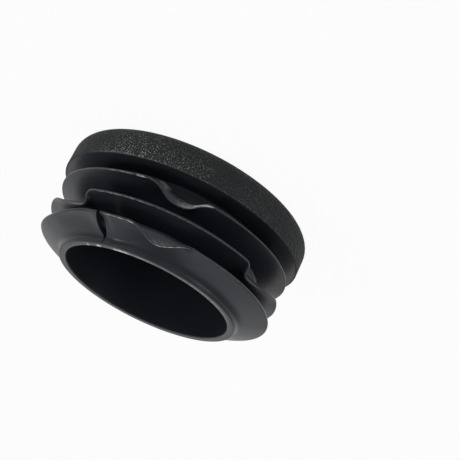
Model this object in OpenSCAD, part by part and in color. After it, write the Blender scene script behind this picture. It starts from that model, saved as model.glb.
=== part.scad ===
// Ribbed push-in cap that closes a round hole in a frame member.
// It is one soft plastic moulding: a solid head, a hollow barrel and three thin fins on the barrel.
// It stands on the face of its head, with the open end of the barrel up.
// Azimuths are in degrees, counter-clockwise from +X as seen from above.

/* [Head] */
// Outside diameter of the head
head_d = 50; // [46:0.5:60]
// Height of the head, from its face to the seat under it
head_h = 6.5; // [5:0.1:8]
// Rounding of the head's outer edge at its face
head_edge_r = 2.7; // [1:0.1:3.5]
// Rounding of the head's outer edge at its seat
seat_edge_r = 0.3; // [0.2:0.05:0.6]
// Thickness of the crown that closes the barrel
crown_t = 3; // [2:0.1:4]

/* [Barrel] */
// Wall of the barrel
barrel_wall = 1.55; // [1.2:0.05:2]
// Rounding of both edges of the rim
rim_r = 0.25; // [0.15:0.05:0.25]
// Length of barrel from the root of the fin nearest the rim to the rim
rim_reach = 1.4; // [1.4:0.1:3]
// Fillet round the floor inside the barrel
floor_r = 1.2; // [0.5:0.1:2]

/* [Fins] */
// Radial step from the head's edge in to the fin tips
fin_inset = 1; // [0.5:0.1:1.5]
// Radial reach of a fin beyond the barrel
fin_reach = 5.4; // [4.6:0.1:6]
// Lean of the fins towards the head
fin_lean = 20; // [14:1:22]
// Height of a fin at its root
fin_root_t = 1.2; // [0.9:0.05:1.4]
// Height of the land at a fin's tip
fin_tip_t = 0.5; // [0.4:0.05:0.6]
// Fillet at the root of a fin
fin_root_r = 0.5; // [0.3:0.05:0.6]
// Fillet between the fin nearest the rim and the lip of the barrel
lip_fillet_r = 1.5; // [0.5:0.05:1.5]
// Height of the tip of the fin nearest the head, above the seat
fin_gap = 3.25; // [3.1:0.05:4]
// Step from the fin nearest the head to the middle fin
mid_step = 4.7; // [4.2:0.1:6]
// Step from the middle fin to the fin nearest the rim
rim_step = 4.25; // [4.2:0.05:6]

/* [Bends of the fin nearest the rim] */
// Azimuth of the buckle
rim_buckle_az = -84.6; // [-90:0.2:-82]
// Width of the turned-up tip on each side of its peak
rim_buckle_w = 15.5; // [12:0.5:18]
// Rise of the tip at the peak, towards the rim
rim_buckle_rise = 2.45; // [1.5:0.05:2.5]
// Width of the sag behind the tip, on each side
rim_sag_w = 24; // [20:0.5:26]
// Sag of the fin's middle, towards the head
rim_sag = 4; // [2:0.1:4]
// Azimuth of the split
split_az = -54.3; // [-56:0.1:-53]
// Width of the split
split_w = 1.6; // [1:0.1:3]
// Width of the dip beside the split
dip_w = 6; // [4:0.5:8]
// Sag of the fin's middle in the dip, towards the head
dip_sag = 1.5; // [0.2:0.1:1.8]
// Azimuth of the gentle lift beside the split
lift_az = -22; // [-26:0.5:-18]
// Width of the lift on its far side
lift_w = 32; // [24:0.5:36]
// Rise of the tip in the lift, towards the rim
lift_rise = 0.65; // [0.2:0.05:1]

/* [Bends of the middle fin] */
// Azimuth of the peak of the first buckle
mid_first_az = -37.8; // [-42:0.1:-34]
// Azimuth of the peak of the second buckle
mid_second_az = -132; // [-136:0.1:-128]
// Width of both buckles on their steep side
mid_steep_w = 7.5; // [7:0.1:9]
// Width of both buckles on their slow side
mid_slow_w = 33; // [24:0.5:34]
// Rise of the tip at the first peak, towards the rim
mid_first_rise = 3.4; // [2.5:0.1:3.6]
// Rise of the tip at the second peak, towards the rim
mid_second_rise = 3; // [2.5:0.1:3.6]
// Swing of the tip on the steep side of the first buckle, in degrees each way
mid_first_swing = 1.4; // [0:0.1:1.6]
// Swing of the tip on the steep side of the second buckle, in degrees each way
mid_second_swing = 0.9; // [0:0.1:1.6]
// Sag of the fin's middle at both peaks, towards the head
mid_sag = 0.6; // [0:0.1:1]

/* [Bends of the fin nearest the head] */
// Azimuth of the buckle
head_buckle_az = -87; // [-92:0.5:-84]
// Width of the turned-up tip counter-clockwise of its peak
head_buckle_ccw = 19.5; // [16:0.5:22]
// Width of the turned-up tip clockwise of its peak
head_buckle_cw = 12.5; // [10:0.5:15]
// Rise of the tip at the peak, towards the rim
head_buckle_rise = 2.95; // [1.5:0.05:3]
// Azimuth of the deepest sag behind the tip
head_sag_az = -76; // [-80:0.5:-74]
// Width of the sag on each side
head_sag_w = 23; // [20:0.5:25]
// Sag of the fin's middle, towards the head
head_sag = 3; // [1:0.1:3.2]

/* [Hidden] */

// Facets of a full turn, and of a small rounding
turn_fn = 72;
round_fn = 24;
// Steps of a bent stretch on each side of its peak
side_steps = 12;
// Steps of a bent stretch's root fillet, and of its rim side beyond the fillet
fillet_steps = 4;
face_steps = 6;
// Shares of the reach at the points of a bent stretch's head side, one for each on its rim side
head_shares = [0, 0.03, 0.07, 0.12, 0.19, 0.3, 0.44, 0.58, 0.72, 0.86, 1];

head_r = head_d / 2;
fin_r = head_r - fin_inset;
barrel_r = fin_r - fin_reach;
bore_r = barrel_r - barrel_wall;
fin_drop = fin_reach * tan(fin_lean);
head_fin_z = head_h + fin_gap;
mid_fin_z = head_fin_z + mid_step;
rim_fin_z = mid_fin_z + rim_step;
rim_z = rim_fin_z + fin_drop + rim_reach;

// Depth that a fin's root runs into the barrel's wall
root_bite = barrel_wall / 2;
// Amount by which a root fillet cuts into the faces it joins
fillet_bite = 0.04;
// Share of its arc that the root fillet of a bent stretch has
fillet_share = 0.65;
// A bent stretch runs this far into its neighbours, in degrees, and is this much thinner and shorter
lap_az = 0.6;
lap_t = 0.03;
lap_tip = 0.12;
// A rising tip is drawn in by this share of its rise, and a sagging middle is pushed out
tip_pull = 0.4;
sag_push = 0.3;
// Steps for the slopes of a bent fin, along it and round it
slope_t = 0.02;
slope_az = 0.15;
// Waste outside a square corner that is being rounded
waste_over = 0.3;

split_cw = split_az - split_w / 2;
split_ccw = split_az + split_w / 2;

// A bend is its azimuth, its widths counter-clockwise and clockwise, its size and, for a rise, its swing
rim_buckle = [rim_buckle_az, rim_buckle_w, rim_buckle_w, rim_buckle_rise, 0];
rim_hollow = [rim_buckle_az, rim_sag_w, rim_sag_w, rim_sag];
rim_lift = [lift_az, lift_w, lift_az - split_ccw, lift_rise, 0];
rim_dip = [split_cw, split_w, dip_w, dip_sag];
mid_first = [mid_first_az, mid_slow_w, mid_steep_w, mid_first_rise, mid_first_swing];
mid_second = [mid_second_az, mid_steep_w, mid_slow_w, mid_second_rise, mid_second_swing];
mid_hollows = [
  [mid_first_az, mid_slow_w, mid_steep_w, mid_sag],
  [mid_second_az, mid_steep_w, mid_slow_w, mid_sag]
];
head_buckle = [head_buckle_az, head_buckle_ccw, head_buckle_cw, head_buckle_rise, 0];
head_hollow = [head_sag_az, head_sag_w, head_sag_w, head_sag];

// A fin is the height of its tip, the bends that lift its tip, those that sag behind it and the
// fillet on its rim side
rim_form = [rim_fin_z, [rim_buckle, rim_lift], [rim_hollow, rim_dip], lip_fillet_r];
mid_form = [mid_fin_z, [mid_first, mid_second], mid_hollows, fin_root_r];
head_form = [head_fin_z, [head_buckle], [head_hollow], fin_root_r];

function first_az(b) = b[0] - b[2];
function last_az(b) = b[0] + b[1];

// Place of an azimuth across a bend, from -1 to 1
function place_in(b, az) = (az - b[0]) / (az > b[0] ? b[1] : b[2]);

// Smooth bump that is 1 at 0 and falls to 0 at -1 and 1
function bump(u) = (1 + cos(180 * min(1, abs(u)))) / 2;

// All bends of a list at one azimuth
function bent_by(bends, az) = [for (b = bends) b[3] * bump(place_in(b, az))] * [for (b = bends) 1];

// Radius and height at t along the middle of a fin
function fin_mid(f, az, t) =
  let (
    root = [barrel_r, f[0] + fin_drop - fin_root_t / 2],
    tip = [fin_r - lap_tip, f[0] - fin_tip_t / 2],
    rise = bent_by(f[1], az),
    sag = bent_by(f[2], az),
    bent_tip = tip + rise * [-tip_pull, 1 - tip_pull * tan(fin_lean)],
    knee = (root + tip) / 2 + sag * [sag_push, -1]
  )
  root * (1 - t) ^ 2 + knee * 2 * t * (1 - t) + bent_tip * t ^ 2;

// Swing of the tip on the steep side of a bend, which makes that side steeper still
function swing(b, az, t) =
  let (u = place_in(b, az), w = u > 0 ? b[1] : b[2])
  abs(u) > 1 || w > min(b[1], b[2]) ? 0 : sign(u) * b[4] * t ^ 3 * sin(360 * abs(u));

function swung_az(f, az, t) = az + [for (b = f[1]) swing(b, az, t)] * [for (b = f[1]) 1];

function polar(p, az) = [p.x * cos(az), p.x * sin(az), p.y];

function fin_point(f, az, t) = polar(fin_mid(f, az, t), swung_az(f, az, t));

// Unit normal of the middle of a bent fin, on its rim side
function fin_normal(f, az, t) =
  let (
    across = fin_point(f, az + slope_az, t) - fin_point(f, az - slope_az, t),
    along = fin_point(f, az, t + slope_t) - fin_point(f, az, t - slope_t),
    n = cross(along, across)
  )
  n / norm(n);

// Half the thickness of a bent fin at t
function half_t(t) = (fin_root_t + (fin_tip_t - fin_root_t) * t) / 2 * cos(fin_lean) - lap_t;

// Points of the rim side of a bent fin, from the barrel out, each its t and its height over the face
// The root fillet stops short of the barrel's wall, so that it doesn't run along it
function rim_side(f, az) =
  let (
    run = (fin_mid(f, az, slope_t) - fin_mid(f, az, 0)) / slope_t,
    fall = atan2(-run.y, run.x),
    end = f[3] * tan(45 - fall / 2) - half_t(0) * tan(fall),
    end_t = end / norm(run)
  )
  concat(
    [
      for (i = [fillet_steps:-1:0])
        let (turn = fillet_share * (90 - fall) * i / fillet_steps)
        [(end - f[3] * sin(turn)) / norm(run), f[3] * (1 - cos(turn))]
    ],
    [for (i = [1:face_steps]) [end_t + (1 - end_t) * i / face_steps, 0]]
  );

// Closed section of a bent fin: out along its head side and back along its rim side
function fin_ring(f, az) =
  let (
    head_points = [for (t = head_shares) fin_point(f, az, t) - fin_normal(f, az, t) * half_t(t)],
    rim_points = [
      for (p = rim_side(f, az))
        fin_point(f, az, p[0]) + fin_normal(f, az, p[0]) * (half_t(p[0]) + p[1])
    ],
    inward = -root_bite / 2 * [cos(az), sin(az), 0]
  )
  concat(
    [head_points[0] + inward],
    head_points,
    [for (i = [len(rim_points) - 1:-1:0]) rim_points[i]],
    [rim_points[0] + inward]
  );

// Azimuths of the sections of a bent stretch, in even steps on each side of its peak
// An end that meets a neighbour runs into it by a lap, and an end at the split has none
function bend_steps(first, peak, last, first_lap = lap_az, last_lap = lap_az) =
  concat(
    [first - first_lap],
    [for (i = [1:side_steps]) first + (peak - first) * i / side_steps],
    [for (i = [1:side_steps - 1]) peak + (last - peak) * i / side_steps],
    [last + last_lap]
  );

// Stretch of a fin that is bent, with its sections at the azimuths in steps
module bent_stretch(f, steps) {
  rings = [for (az = steps) fin_ring(f, az)];
  m = len(rings[0]);
  last = len(rings) - 1;
  sides = [
    for (i = [0:last - 1], k = [0:m - 1])
      let (a = i * m + k, c = i * m + (k + 1) % m)
      each [[a, c, a + m], [c, c + m, a + m]]
  ];
  rungs = [
    for (j = [0:m / 2 - 2])
      let (k = m - 1 - j)
      each [[j, k, k - 1], [j, k - 1, j + 1]]
  ];
  far_rungs = [for (r = rungs) [for (i = [2:-1:0]) last * m + r[i]]];
  polyhedron([for (r = rings) each r], concat(sides, rungs, far_rungs));
}

// Fillet of radius r between the barrel and one face of a fin, with its corner at height z
// The air in the corner spans from the face, at angle face, to the barrel, at angle wall
module root_fillet(z, face, wall, r) {
  half = (wall - face) / 2;
  mid = (wall + face) / 2;
  reach = (r - fillet_bite) / abs(sin(half));
  run = r / abs(tan(half));
  translate([barrel_r, z])
    difference() {
      polygon([
        -root_bite / 2 * [cos(mid), sin(mid)],
        run * [cos(face), sin(face)],
        run * [cos(wall), sin(wall)]
      ]);
      translate(reach * [cos(mid), sin(mid)]) circle(r, $fn = round_fn);
    }
}

// Section of the unbent fin f
module fin_section(f) {
  top = f[0] + fin_drop;
  under = top - fin_root_t;
  under_lean = atan2(under - f[0] + fin_tip_t, fin_reach);
  polygon([
    [barrel_r - root_bite, under],
    [barrel_r, under],
    [fin_r, f[0] - fin_tip_t],
    [fin_r, f[0]],
    [barrel_r, top],
    [barrel_r - root_bite, top]
  ]);
  root_fillet(top, -fin_lean, 90, f[3]);
  root_fillet(under, -under_lean, -90, fin_root_r);
}

// Unbent stretch of a fin between two azimuths
module plain_stretch(f, from, to) {
  rotate_extrude(angle = to - from, start = from, $fn = turn_fn) fin_section(f);
}

module head_fin() {
  first = min(first_az(head_buckle), first_az(head_hollow));
  last = max(last_az(head_buckle), last_az(head_hollow));
  plain_stretch(head_form, last, first + 360);
  bent_stretch(head_form, bend_steps(first, head_buckle_az, last));
}

module mid_fin() {
  plain_stretch(mid_form, last_az(mid_second), first_az(mid_first));
  plain_stretch(mid_form, last_az(mid_first), first_az(mid_second) + 360);
  for (b = [mid_first, mid_second]) bent_stretch(mid_form, bend_steps(first_az(b), b[0], last_az(b)));
}

module rim_fin() {
  first = first_az(rim_hollow);
  last = last_az(rim_lift);
  plain_stretch(rim_form, last, first + 360);
  bent_stretch(rim_form, bend_steps(first, rim_buckle_az, split_cw, last_lap = 0));
  bent_stretch(rim_form, bend_steps(split_ccw, lift_az, last, first_lap = 0));
}

// Outside of a rounding, to cut from a square corner, where inward gives the signs of the way in
module corner_waste(corner, inward, r) {
  translate(corner)
    difference() {
      polygon([
        -waste_over * inward,
        [r * inward.x, -waste_over * inward.y],
        r * inward,
        [-waste_over * inward.x, r * inward.y]
      ]);
      translate(r * inward) circle(r, $fn = round_fn);
    }
}

// Half section of the head, with its outer edges rounded
module head_section() {
  difference() {
    square([head_r, head_h]);
    corner_waste([head_r, 0], [-1, 1], head_edge_r);
    corner_waste([head_r, head_h], [-1, -1], seat_edge_r);
  }
}

// Half section of the hollow in the barrel, with a fillet round its floor
module hollow_section() {
  difference() {
    translate([0, crown_t]) square([bore_r, rim_z]);
    corner_waste([bore_r, crown_t], [-1, 1], floor_r);
  }
}

// Half section of the head and the barrel
module body_section() {
  difference() {
    union() {
      head_section();
      square([barrel_r, rim_z]);
      root_fillet(head_h, 0, 90, fin_root_r);
    }
    hollow_section();
    corner_waste([barrel_r, rim_z], [-1, -1], rim_r);
    corner_waste([bore_r, rim_z], [1, -1], rim_r);
  }
}

// Head and barrel, turned about +Z
module body() {
  rotate_extrude($fn = turn_fn) body_section();
}

module frame_hole_cap() {
  color("dimgray") {
    body();
    head_fin();
    mid_fin();
    rim_fin();
  }
}

frame_hole_cap();
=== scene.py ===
import math
from collections import namedtuple

import bpy
import numpy as np
from mathutils import Matrix, Vector


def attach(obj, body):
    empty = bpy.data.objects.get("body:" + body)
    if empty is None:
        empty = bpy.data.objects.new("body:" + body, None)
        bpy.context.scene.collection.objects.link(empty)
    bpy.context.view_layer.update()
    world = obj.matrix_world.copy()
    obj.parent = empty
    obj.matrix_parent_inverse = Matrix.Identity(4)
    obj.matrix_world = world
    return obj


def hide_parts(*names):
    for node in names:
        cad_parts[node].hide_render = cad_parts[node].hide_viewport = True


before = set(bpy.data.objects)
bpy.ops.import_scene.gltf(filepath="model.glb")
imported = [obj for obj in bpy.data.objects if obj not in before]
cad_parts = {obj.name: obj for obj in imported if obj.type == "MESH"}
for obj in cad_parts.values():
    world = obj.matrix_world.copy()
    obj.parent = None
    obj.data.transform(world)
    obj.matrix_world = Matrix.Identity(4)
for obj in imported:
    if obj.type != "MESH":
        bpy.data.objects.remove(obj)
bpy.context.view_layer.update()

MM = 0.001

# Sizes in millimetres, as in the part's source
HEAD_R = 25.0
HEAD_H = 6.5
HEAD_EDGE_R = 2.7
SEAT_EDGE_R = 0.3
CROWN_T = 3.0
FIN_R = 24.0
BARREL_R = 18.6
BORE_R = 17.05
RIM_R = 0.25
FLOOR_R = 1.2
FIN_LEAN = math.radians(20.0)
FIN_DROP = (FIN_R - BARREL_R) * math.tan(FIN_LEAN)
FIN_ROOT_T = 1.2
FIN_TIP_T = 0.5
FIN_ROOT_R = 0.5
LIP_FILLET_R = 1.5
LIP_H = 1.4
HEAD_FIN_Z = 9.75
MID_FIN_Z = 14.45
RIM_FIN_Z = 18.7
RIM_Z = RIM_FIN_Z + FIN_DROP + LIP_H
# A tip that rises is pulled in, and a fin that sags is pushed out, by these shares
TIP_PULL = 0.4
SAG_PUSH = 0.3
# Azimuths of the split's two sides
SPLIT_CW = -55.1
SPLIT_CCW = -53.5

# Radius of the eased edges of the fin tips, and depth of the fin roots in the barrel's wall
TIP_EASE = 0.13
ROOT_SINK = 0.3
# The torn edge bows away from the split by this many degrees, within this many degrees of it
SPLIT_BOW = 2.0
BOW_W = 6.0
# With a power under 1, the bow is fullest nearer the barrel than the middle of the reach
BOW_SKEW = 0.8
# The bow still counts this many degrees past the edge, for directions measured across it
BOW_SLACK = 0.2

# Azimuths, widths and the swing of a steep side are in degrees, sizes of bends in millimetres
# The share and reach of a patch of painted highlight are parts of the fin's reach
Bend = namedtuple("Bend", "at ccw cw size swing", defaults=(0.0,))
# Edges worn pale, with painted highlights and glints on them
WearGlint = namedtuple("WearGlint", "at half strength")
# Patches of painted highlight on fins where they lie in shade near the folds
HighlightPatch = namedtuple("HighlightPatch", "at half share reach strength")

HEAD_FORM = {
    "z": HEAD_FIN_Z,
    "rises": [Bend(-87.0, 19.5, 12.5, 2.95), Bend(-80.5, 8.0, 7.5, 0.6)],
    "sags": [Bend(-76.0, 23.0, 23.0, 3.0)],
    "fillet": FIN_ROOT_R,
    "wear_glints": [
        WearGlint(-65.0, 2.6, 8.0),
        WearGlint(-55.0, 16.0, 0.5),
        WearGlint(-91.0, 9.0, 0.5),
        WearGlint(-97.2, 2.4, 8.0),
        WearGlint(-30.0, 40.0, 0.12),
    ],
    "highlight_patches": [
        HighlightPatch(-74.5, 5.5, 0.6, 0.42, 0.85),
        HighlightPatch(-90.0, 7.5, 0.95, 0.3, 0.6),
        HighlightPatch(-94.5, 5.0, 1.0, 0.16, 0.5),
    ],
}
MID_FORM = {
    "z": MID_FIN_Z,
    "rises": [Bend(-37.8, 33.0, 7.5, 3.4, 1.4), Bend(-132.0, 7.5, 33.0, 3.0, 0.9)],
    "sags": [Bend(-37.8, 33.0, 7.5, 0.6), Bend(-132.0, 7.5, 33.0, 0.6)],
    "fillet": FIN_ROOT_R,
    "wear_glints": [WearGlint(-62.0, 26.0, 0.5), WearGlint(-95.0, 30.0, 0.2)],
    "highlight_patches": [],
}
RIM_FORM = {
    "z": RIM_FIN_Z,
    "rises": [Bend(-84.6, 15.5, 15.5, 2.45), Bend(-22.0, 32.0, 31.5, 0.65)],
    "sags": [
        Bend(-84.6, 24.0, 24.0, 4.0),
        Bend(SPLIT_CW, 1.6, 6.0, 1.5),
        Bend(-43.0, 26.0, 15.0, 1.3),
    ],
    "fillet": LIP_FILLET_R,
    "wear_glints": [
        WearGlint(-63.0, 8.0, 1.2),
        WearGlint(-70.3, 1.9, 8.0),
        WearGlint(-89.0, 10.0, 6.0),
        WearGlint(-110.0, 20.0, 0.15),
    ],
    "highlight_patches": [HighlightPatch(-86.5, 7.0, 1.0, 0.13, 0.22)],
}

# Wear and painted glints along the inner edge of the rim, and the widths of its flat where they end and
# start to fade
RIM_WEAR_GLINTS = [
    WearGlint(-40.0, 1.4, 2.0),
    WearGlint(-49.3, 2.0, 5.0),
    WearGlint(-65.0, 7.0, 3.5),
    WearGlint(-78.0, 12.0, 0.5),
    WearGlint(-125.0, 45.0, 0.3),
]
RIM_GLINT_W = (0.7, 0.4)
# Wear and a painted highlight line along the head's seat edge
SEAT_WEAR_GLINTS = [WearGlint(-55.0, 25.0, 0.15)]
# Painted glints as pale specks on the head's grain, and the share of them that is left at the head's outer
# face
SPECK_GLINTS = [WearGlint(-60.0, 30.0, 1.0), WearGlint(-86.0, 12.0, 0.4), WearGlint(-116.0, 30.0, 0.16)]
SPECK_GLINT_LEAST = 0.2
# Wear with a painted highlight that every edge has, and the share and limit of a strong one that spreads
# beside the edge
BASE_WEAR_GLINT = 0.05
SPILL = 0.35
SPILL_TOP = 2.5
# Marks of wear and painted glints are longer along an edge than across it by 1 over this
STREAK = 0.22

# Steps of the mesh
TURN_STEPS = 288
FILLET_STEPS = 9
REACH_STEPS = 14
HEAD_EDGE_STEPS = 12
SEAT_EDGE_STEPS = 5
ARC_STEPS = 6
SECTION_STEP = 1.5
EASE_ANGLES = (0, 30, 60)
# A side of a bend that is narrower than this many degrees has sections of its own, over these shares
STEEP_W = 10
STEEP_STEPS = 40
STEEP_FROM = -0.2
STEEP_TO = 1.1
# Small steps in azimuth and in share of the reach that directions are measured over
NEAR_AZ = 0.15
NEAR_T = 0.01
ROOT_STEP = 0.02
CLOSE = 0.001

HEAD_SLOT = 0
SATIN_SLOT = 1

# Noise scales per metre, or for the painted speck glints per grain, and the ranges of noise that show
SHEEN_SCALE = 90.0
SHEEN_RANGE = (0.3, 0.7)
SPECK_GLINT_SCALE = 2.7
SPECK_GLINT_RANGE = (0.59, 0.67)
SPECK_GLINT_COLOUR = (0.62, 0.62, 0.6)
WEAR_GLINT_SCALE = 5000.0
WEAR_GLINT_RANGE = (0.42, 0.58)
WEAR_GLINT_LEAST = 0.12
WEAR_GLINT_COLOUR = (0.8, 0.8, 0.81)

# The studio, in metres
FLOOR_HALF = 6.0
FLOOR_GAP = 0.0001
FLOOR_GREY = 0.85
WHITE_SHARE = 0.95
SKY_AXIS = (0.2, 0.72, 0.66)
SKY_RANGE = (0.45, 0.9)
LIGHT_TARGET = (0, 0, 0.01)


def arc(cx, cz, r, start, end, steps):
    """Points of an arc in the half section, from one angle to another, in degrees."""
    return [
        (cx + r * math.cos(math.radians(a)), cz + r * math.sin(math.radians(a)))
        for a in np.linspace(start, end, steps + 1)
    ]


def along(points, step):
    """The same line with its long stretches cut into steps."""
    out = [points[0]]
    for a, b in zip(points, points[1:]):
        n = max(1, round(math.dist(a, b) / step))
        for k in range(1, n + 1):
            out.append((a[0] + (b[0] - a[0]) * k / n, a[1] + (b[1] - a[1]) * k / n))
    return out


def body_sections():
    """Half section of the head and the barrel: the grained outside of the head, then the rest."""
    r = HEAD_EDGE_R
    s = SEAT_EDGE_R
    f = FIN_ROOT_R
    head = [(0.0, 0.0)]
    head += arc(HEAD_R - r, r, r, -90, 0, HEAD_EDGE_STEPS)
    head += arc(HEAD_R - s, HEAD_H - s, s, 0, 90, SEAT_EDGE_STEPS)
    rest = [head[-1]]
    rest += arc(BARREL_R + f, HEAD_H + f, f, -90, -180, ARC_STEPS)
    rest += arc(BARREL_R - RIM_R, RIM_Z - RIM_R, RIM_R, 0, 90, ARC_STEPS)
    rest += [(BORE_R + RIM_R + d, RIM_Z) for d in RIM_GLINT_W]
    rest += arc(BORE_R + RIM_R, RIM_Z - RIM_R, RIM_R, 90, 180, ARC_STEPS)
    rest += arc(BORE_R - FLOOR_R, CROWN_T + FLOOR_R, FLOOR_R, 0, -90, ARC_STEPS)
    rest += [(0.0, CROWN_T)]
    return along(head, SECTION_STEP), along(rest, SECTION_STEP)


def bump(u):
    """A smooth hill, 1 at 0 and 0 from 1 on to either side."""
    return (1 + np.cos(np.pi * np.minimum(1, np.abs(u)))) / 2


def turn_from(at, az):
    """Degrees from one azimuth to another, from -180 to 180."""
    return (az - at + 180) % 360 - 180


def place_in(bend, az):
    """Place across a bend, from -1 to 1, of an azimuth in degrees."""
    d = turn_from(bend.at, az)
    return np.where(d > 0, d / bend.ccw, d / bend.cw)


def bent_by(bends, az):
    """Size of several bends taken together at an azimuth."""
    return sum(bend.size * bump(place_in(bend, az)) for bend in bends)


def wear_glint_at(wear_glints, az):
    """How far an edge is worn and painted with highlights at an azimuth. From 1 up, all of it is."""
    here = [wear_glint.strength * bump(turn_from(wear_glint.at, az) / wear_glint.half) for wear_glint in wear_glints]
    return BASE_WEAR_GLINT + sum(here)


def fin_points(form, az, t):
    """Points of the middle of a fin, at azimuths az and shares t of its reach."""
    root = np.array([BARREL_R, form["z"] + FIN_DROP - FIN_ROOT_T / 2])
    tip = np.array([FIN_R, form["z"] - FIN_TIP_T / 2])
    knee = (root + tip) / 2
    rise = bent_by(form["rises"], az)
    sag = bent_by(form["sags"], az)
    tip_r = tip[0] - TIP_PULL * rise
    tip_z = tip[1] + rise * (1 - TIP_PULL * math.tan(FIN_LEAN))
    r = root[0] * (1 - t) ** 2 + (knee[0] + SAG_PUSH * sag) * 2 * t * (1 - t) + tip_r * t ** 2
    z = root[1] * (1 - t) ** 2 + (knee[1] - sag) * 2 * t * (1 - t) + tip_z * t ** 2
    turned = az + 0 * t
    for bend in form["rises"]:
        u = place_in(bend, az)
        steep = (np.abs(u) < 1) & (np.where(u > 0, bend.ccw, bend.cw) <= min(bend.ccw, bend.cw))
        swing = np.sign(u) * bend.swing * np.sin(2 * np.pi * np.abs(u))
        turned = turned + np.where(steep, swing, 0) * t ** 3
    if form is RIM_FORM:
        turned = turned + bowed(az, t)
    a = np.radians(turned)
    return np.stack([r * np.cos(a), r * np.sin(a), z], -1)


def bowed(az, t):
    """Turn of the torn edge away from the split."""
    off = turn_from(SPLIT_CCW, az)
    bow = SPLIT_BOW * bump(off / BOW_W) * np.sin(np.pi * np.clip(t, 0, 1) ** BOW_SKEW)
    return np.where(off >= -BOW_SLACK, bow, 0)


def fin_frame(form, az, t):
    """Points of the middle of a fin, with its outward direction and the normal of its rim side."""
    across = fin_points(form, az + NEAR_AZ, t) - fin_points(form, az - NEAR_AZ, t)
    out = fin_points(form, az, t + NEAR_T) - fin_points(form, az, t - NEAR_T)
    normal = np.cross(out, across)
    normal /= np.linalg.norm(normal, axis=-1, keepdims=True)
    return fin_points(form, az, t), out / np.linalg.norm(out, axis=-1, keepdims=True), normal


def half_at(t):
    """Half of a fin's thickness at a share of its reach."""
    return (FIN_ROOT_T + (FIN_TIP_T - FIN_ROOT_T) * t) / 2 * math.cos(FIN_LEAN)


def fin_side(form, az, side, radius):
    """Rim side, 1, or head side, -1, of a fin from the barrel to its tip, with its shares of the reach."""
    root = fin_points(form, az, 0 * az)
    step = fin_points(form, az, 0 * az + ROOT_STEP) - root
    fall = np.arctan2(-step[:, 2], np.hypot(*(root + step)[:, :2].T) - BARREL_R)
    pace = np.linalg.norm(step, axis=-1) / ROOT_STEP
    open_half = (math.pi / 2 - side * fall) / 2
    run = radius * np.tan(open_half)
    start = -side * half_at(0) * np.tan(fall)
    turn = np.linspace(1, 0, FILLET_STEPS)[None] * (2 * open_half)[:, None]
    t_arc = (start[:, None] + run[:, None] - radius * np.sin(turn)) / pace[:, None]
    h_arc = radius * (1 - np.cos(turn))
    share = np.linspace(0, 1, REACH_STEPS + 1)[None, 1:]
    t_face = t_arc[:, -1:] + (1 - t_arc[:, -1:]) * share
    t = np.concatenate([t_arc, t_face], 1)
    height = half_at(t) + np.concatenate([h_arc, 0 * t_face], 1)
    mid, out, normal = fin_frame(form, az[:, None] + 0 * t, t)
    line = mid + side * normal * height[..., None]
    line[:, -1] -= out[:, -1] * TIP_EASE
    sunk = 1 - ROOT_SINK / BARREL_R
    inside = line[:, :1] * [sunk, sunk, 1]
    return np.concatenate([inside, line], 1), np.concatenate([t[:, :1], t], 1)


def fin_tip(form, azimuths):
    """Points round the eased tip of a fin, from its head side to its rim side."""
    tip, out, normal = fin_frame(form, azimuths, 0 * azimuths + 1)
    land = half_at(1) - TIP_EASE
    ease = []
    for side, angles in ((-1, EASE_ANGLES[::-1]), (1, EASE_ANGLES)):
        for a in np.radians(angles):
            across = side * (land + TIP_EASE * math.sin(a))
            ease.append(tip + normal * across + out * TIP_EASE * (math.cos(a) - 1))
    return np.stack(ease, 1)


def fin_rings(form, azimuths):
    """Closed sections of a fin, out along its head side and back along its rim side, with their wear and
    painted highlights.
    """
    head_side, head_t = fin_side(form, azimuths, -1, FIN_ROOT_R)
    rim_side, _ = fin_side(form, azimuths, 1, form["fillet"])
    tip = fin_tip(form, azimuths)
    rings = np.concatenate([head_side, tip, rim_side[:, ::-1]], 1)
    wear_glint = np.zeros(rings.shape[:2])
    first = head_side.shape[1]
    corner = first + tip.shape[1]
    # Painted highlight patches on the head side and tip of a fin
    for lit_patch in form["highlight_patches"]:
        here = lit_patch.strength * bump(turn_from(lit_patch.at, azimuths) / lit_patch.half)[:, None]
        wear_glint[:, :first] += here * bump((head_t - lit_patch.share) / lit_patch.reach)
        wear_glint[:, first:corner] += here * bump((1 - lit_patch.share) / lit_patch.reach)
    # Wear and a painted highlight along the tip's rim-side corner, which spreads beside it where strong
    edge = wear_glint_at(form["wear_glints"], azimuths)[:, None]
    wear_glint[:, corner - 2 : corner] += edge
    wear_glint[:, corner - 3 : corner + 1 : 3] += SPILL * np.clip(edge - 1, 0, SPILL_TOP)
    return rings, wear_glint


def fin_azimuths(form, ends):
    """Azimuths of a fin's sections, closer together on the steep side of a bend."""
    first, last = ends
    az = list(np.linspace(first, last, TURN_STEPS + 1))
    for bend in form["rises"]:
        for width, sign in ((bend.ccw, 1), (bend.cw, -1)):
            if width < STEEP_W:
                side = bend.at + sign * np.linspace(STEEP_FROM * width, STEEP_TO * width, STEEP_STEPS)
                az += list(np.where(side < first, side + 360, side))
    az = np.unique(np.round(az, 3))
    return az[(az >= first) & (az <= last)]


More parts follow.
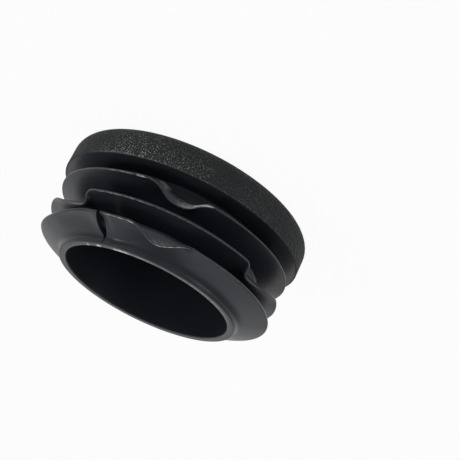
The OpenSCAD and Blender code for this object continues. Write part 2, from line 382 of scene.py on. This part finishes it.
class Mesh:
    """Points and faces of the cap, gathered strip by strip."""

    def __init__(self):
        self.points = []
        self.faces = []
        self.slots = []
        self.wear_glint = []
        self.speck_glints = []
        self.streaks = []

    def add_point(self, r, z, az, path):
        a = math.radians(az)
        self.points.append((r * math.cos(a) * MM, r * math.sin(a) * MM, z * MM))
        self.wear_glint.append(body_wear_glint(r, z, az))
        self.speck_glints.append(head_speck_glints(r, z, az))
        self.streaks.append((r * a * STREAK * MM, path * MM, 0))
        return len(self.points) - 1

    def add_face(self, face, slot):
        self.faces.append(face)
        self.slots.append(slot)

    def add_turned(self, section, slot):
        """A half section turned a full circle. Its ends may lie on the axis."""
        turn = [360 * k / TURN_STEPS - 180 for k in range(TURN_STEPS)]
        rings = []
        path = 0
        before = section[0]
        for r, z in section:
            path += math.dist(before, (r, z))
            before = (r, z)
            if r < CLOSE:
                rings.append([self.add_point(0, z, 0, path)] * TURN_STEPS)
            else:
                rings.append([self.add_point(r, z, az, path) for az in turn])
        for a, b in zip(rings, rings[1:]):
            for k in range(TURN_STEPS):
                j = (k + 1) % TURN_STEPS
                face = []
                for p in (a[k], a[j], b[j], b[k]):
                    if p not in face:
                        face.append(p)
                self.add_face(face, slot)

    def add_fin(self, form, slot, ends=(-180, 180), split=False):
        """A fin all round the barrel, or open at a split."""
        azimuths = fin_azimuths(form, ends)
        azimuths = azimuths if split else azimuths[:-1]
        rings, wear_glint = fin_rings(form, azimuths)
        count, m = rings.shape[:2]
        first = len(self.points)
        self.points += [tuple(p) for p in (rings * MM).reshape(-1, 3)]
        self.wear_glint += list(wear_glint.reshape(-1))
        self.speck_glints += [0.0] * wear_glint.size
        steps = np.diff(rings, axis=1, prepend=rings[:, :1])
        path = np.cumsum(np.linalg.norm(steps, axis=-1), axis=1)
        turn = np.radians(azimuths)[:, None] * FIN_R * STREAK + 0 * path
        streaks = np.stack([turn * MM, path * MM, 0 * path], -1)
        self.streaks += [tuple(p) for p in streaks.reshape(-1, 3)]
        for i in range(count - split):
            for k in range(m):
                a = first + i * m
                b = first + (i + 1) % count * m
                j = (k + 1) % m
                self.add_face([a + k, a + j, b + j, b + k][::-1], slot)
        if split:
            self.add_end(rings[0], slot)
            self.add_end(rings[-1][::-1], slot)

    def add_end(self, ring, slot):
        """Torn end of a fin, with points of its own so that its edges stay crisp."""
        first = len(self.points)
        self.points += [tuple(p) for p in ring * MM]
        self.wear_glint += [0.0] * len(ring)
        self.speck_glints += [0.0] * len(ring)
        self.streaks += [(0.0, 0.0, 0.0)] * len(ring)
        self.add_face([first + k for k in range(len(ring))], slot)


def body_wear_glint(r, z, az):
    """Wear and painted highlights along the edges of the rim and of the head's seat."""
    if z > RIM_Z - RIM_R:
        return float(wear_glint_at(RIM_WEAR_GLINTS, az)) if r < BORE_R + RIM_R + RIM_GLINT_W[1] + CLOSE else 0.0
    if HEAD_H - SEAT_EDGE_R < z < HEAD_H and r > HEAD_R - SEAT_EDGE_R:
        return float(wear_glint_at(SEAT_WEAR_GLINTS, az))
    return 0.0


def head_speck_glints(r, z, az):
    """How far the grain of the head's side has painted glints as pale specks: most of all near the seat.
    """
    if z > HEAD_H - CLOSE or r < HEAD_R - HEAD_EDGE_R:
        return 0.0
    return float(wear_glint_at(SPECK_GLINTS, az)) * (SPECK_GLINT_LEAST + (1 - SPECK_GLINT_LEAST) * z / HEAD_H)


def make_cap():
    """The cap as one mesh, with what its materials need to know at each point."""
    mesh = Mesh()
    head, rest = body_sections()
    mesh.add_turned(head, HEAD_SLOT)
    mesh.add_turned(rest, SATIN_SLOT)
    mesh.add_fin(HEAD_FORM, SATIN_SLOT)
    mesh.add_fin(MID_FORM, SATIN_SLOT)
    mesh.add_fin(RIM_FORM, SATIN_SLOT, (SPLIT_CCW, SPLIT_CW + 360), True)
    data = bpy.data.meshes.new("cap")
    data.from_pydata(mesh.points, [], mesh.faces)
    data.polygons.foreach_set("material_index", mesh.slots)
    data.polygons.foreach_set("use_smooth", [True] * len(mesh.faces))
    data.attributes.new("wear_glint", "FLOAT", "POINT").data.foreach_set("value", mesh.wear_glint)
    data.attributes.new("speck_glints", "FLOAT", "POINT").data.foreach_set("value", mesh.speck_glints)
    streaks = np.array(mesh.streaks).reshape(-1)
    data.attributes.new("streaks", "FLOAT_VECTOR", "POINT").data.foreach_set("vector", streaks)
    data.validate()
    data.update()
    data.materials.append(head_grain())
    data.materials.append(smooth_satin())
    cap = bpy.data.objects.new("cap", data)
    bpy.context.scene.collection.objects.link(cap)
    return cap


def node(tree, kind, **sockets):
    """A shader node with plain values in some of its sockets."""
    made = tree.nodes.new(kind)
    for name, value in sockets.items():
        made.inputs[name.replace("_", " ")].default_value = value
    return made


def mix_colour(tree, factor, a, b):
    """Mix of two colours, each a socket or a plain colour."""
    mix = tree.nodes.new("ShaderNodeMix")
    mix.data_type = "RGBA"
    tree.links.new(factor, mix.inputs["Factor"])
    for name, colour in (("A", a), ("B", b)):
        if isinstance(colour, tuple):
            mix.inputs[name].default_value = (*colour, 1)
        else:
            tree.links.new(colour, mix.inputs[name])
    return mix.outputs["Result"]


def ramp(tree, value, low, high, to_low=0.0, to_high=1.0):
    """A value taken from one range to another, and held within it."""
    made = node(tree, "ShaderNodeMapRange", From_Min=low, From_Max=high, To_Min=to_low, To_Max=to_high)
    tree.links.new(value, made.inputs["Value"])
    return made.outputs["Result"]


def combine(tree, operation, a, b):
    """One value from two, each a socket or a plain number."""
    made = tree.nodes.new("ShaderNodeMath")
    made.operation = operation
    for socket, value in zip(made.inputs, (a, b)):
        if isinstance(value, float):
            socket.default_value = value
        else:
            tree.links.new(value, socket)
    return made.outputs["Value"]


def noise(tree, where, scale, detail, roughness=0.55):
    """Noise from about 0.3 to 0.7."""
    made = node(tree, "ShaderNodeTexNoise", Scale=scale, Detail=detail, Roughness=roughness)
    tree.links.new(where, made.inputs["Vector"])
    return made.outputs["Fac"]


def attribute(tree, name, output="Fac"):
    """What the mesh knows at each point under a name."""
    made = tree.nodes.new("ShaderNodeAttribute")
    made.attribute_name = name
    return made.outputs[output]


def plastic(name, rough, shine, dark, light, grain):
    """Dark moulded plastic with a patchy sheen, a grain with pale specks of painted glints, and worn edges
    with painted highlights.
    """
    mat = bpy.data.materials.new(name)
    mat.use_nodes = True
    tree = mat.node_tree
    link = tree.links.new
    shader = tree.nodes["Principled BSDF"]
    shader.inputs["Specular IOR Level"].default_value = shine
    where = tree.nodes.new("ShaderNodeTexCoord").outputs["Object"]
    size, depth = grain

    sheen = noise(tree, where, SHEEN_SCALE, 5.0, 0.6)
    link(ramp(tree, sheen, *SHEEN_RANGE, *rough), shader.inputs["Roughness"])
    colour = mix_colour(tree, sheen, dark, light)

    # Painted glints on the grain, as pale specks
    tops = ramp(tree, noise(tree, where, SPECK_GLINT_SCALE / size, 1.0), *SPECK_GLINT_RANGE)
    pale = combine(tree, "MULTIPLY", tops, attribute(tree, "speck_glints"))
    colour = mix_colour(tree, pale, colour, SPECK_GLINT_COLOUR)

    # Wear and painted highlights and glints, broken up along the edges and mixed towards a pale colour
    streaks = noise(tree, attribute(tree, "streaks", "Vector"), WEAR_GLINT_SCALE, 2.0)
    wear_glint_breakup = ramp(tree, streaks, *WEAR_GLINT_RANGE, WEAR_GLINT_LEAST, 1.0)
    wear_and_glint = combine(tree, "MULTIPLY", wear_glint_breakup, attribute(tree, "wear_glint"))
    colour = mix_colour(tree, wear_and_glint, colour, WEAR_GLINT_COLOUR)
    link(colour, shader.inputs["Base Color"])

    relief = node(tree, "ShaderNodeBump", Strength=1.0, Distance=depth)
    link(noise(tree, where, 1 / size, 2.0), relief.inputs["Height"])
    link(relief.outputs["Normal"], shader.inputs["Normal"])
    return mat


def head_grain():
    """Matte grained plastic of the head's outside."""
    return plastic(
        "head_grain",
        rough=(0.6, 0.74),
        shine=0.14,
        dark=(0.0295, 0.0325, 0.0345),
        light=(0.045, 0.048, 0.0495),
        grain=(0.0006, 0.0006),
    )


def smooth_satin():
    """Smoother plastic of the seat, the barrel and the fins."""
    return plastic(
        "smooth_satin",
        rough=(0.3, 0.42),
        shine=0.38,
        dark=(0.019, 0.0225, 0.031),
        light=(0.026, 0.0295, 0.038),
        grain=(0.0004, 0.000006),
    )


def floor_white():
    """White to the camera and in reflections, with a little of the floor's shadow left."""
    mat = bpy.data.materials.new("floor_white")
    mat.use_nodes = True
    tree = mat.node_tree
    link = tree.links.new
    shader = tree.nodes["Principled BSDF"]
    shader.inputs["Base Color"].default_value = (FLOOR_GREY, FLOOR_GREY, FLOOR_GREY, 1)
    shader.inputs["Roughness"].default_value = 0.9
    shader.inputs["Specular IOR Level"].default_value = 0.0
    white = node(tree, "ShaderNodeEmission", Strength=1.0)
    rays = tree.nodes.new("ShaderNodeLightPath")
    seen = combine(tree, "MAXIMUM", rays.outputs["Is Camera Ray"], rays.outputs["Is Transmission Ray"])
    seen = combine(tree, "MAXIMUM", seen, rays.outputs["Is Glossy Ray"])
    mix = tree.nodes.new("ShaderNodeMixShader")
    link(combine(tree, "MULTIPLY", seen, WHITE_SHARE), mix.inputs["Fac"])
    link(shader.outputs["BSDF"], mix.inputs[1])
    link(white.outputs["Emission"], mix.inputs[2])
    link(mix.outputs["Shader"], tree.nodes["Material Output"].inputs["Surface"])
    return mat


def make_floor():
    """Wide floor just under the cap."""
    s = FLOOR_HALF
    data = bpy.data.meshes.new("floor")
    data.from_pydata([(-s, -s, 0), (s, -s, 0), (s, s, 0), (-s, s, 0)], [], [(0, 1, 2, 3)])
    data.materials.append(floor_white())
    floor = bpy.data.objects.new("floor", data)
    bpy.context.scene.collection.objects.link(floor)
    floor.location.z = -FLOOR_GAP
    return floor


def make_light(name, place, size, power):
    """Round soft lamp that points at the cap."""
    lamp = bpy.data.lights.new(name, "AREA")
    lamp.shape = "DISK"
    lamp.size = size
    lamp.energy = power
    obj = bpy.data.objects.new(name, lamp)
    bpy.context.scene.collection.objects.link(obj)
    obj.location = place
    obj.rotation_euler = (Vector(LIGHT_TARGET) - Vector(place)).to_track_quat("-Z", "Y").to_euler()


def make_world(front, back):
    """White surroundings, dimmer at the front and towards the horizon."""
    world = bpy.data.worlds.new("studio")
    bpy.context.scene.world = world
    world.use_nodes = True
    tree = world.node_tree
    where = tree.nodes.new("ShaderNodeTexCoord")
    height = tree.nodes.new("ShaderNodeVectorMath")
    height.operation = "DOT_PRODUCT"
    height.inputs[1].default_value = SKY_AXIS
    tree.links.new(where.outputs["Generated"], height.inputs[0])
    sky = tree.nodes["Background"]
    sky.inputs["Color"].default_value = (1, 1, 1, 1)
    tree.links.new(ramp(tree, height.outputs["Value"], *SKY_RANGE, front, back), sky.inputs["Strength"])


def make_camera():
    """Camera where the photograph was taken from, rolled so that the open end points down and left."""
    place = Vector((0.0, -0.20687, 0.08763))
    target = Vector((-0.00937, 0.0, 0.00232))
    roll = math.radians(154.38)
    view = (target - place).normalized()
    level = view.cross(Vector((0, 0, 1))).normalized()
    up = level * math.sin(roll) + level.cross(view) * math.cos(roll)
    right = view.cross(up)
    data = bpy.data.cameras.new("camera")
    data.lens = 87.95
    data.sensor_width = 36.0
    data.clip_start = 0.01
    data.clip_end = 50.0
    camera = bpy.data.objects.new("camera", data)
    bpy.context.scene.collection.objects.link(camera)
    turn = Matrix((right, up, -view)).transposed().to_4x4()
    camera.matrix_world = Matrix.Translation(place) @ turn
    bpy.context.scene.camera = camera


make_camera()
cap = make_cap()
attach(cap, "root")
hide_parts("frame_hole_cap")

floor = make_floor()
make_world(front=0.3, back=0.76)
make_light("key", (0.36, -0.12, 0.45), size=0.2, power=0.5)
make_light("fill", (-0.5, -0.36, 0.06), size=0.3, power=0.45)

bpy.context.scene.view_settings.view_transform = "Standard"
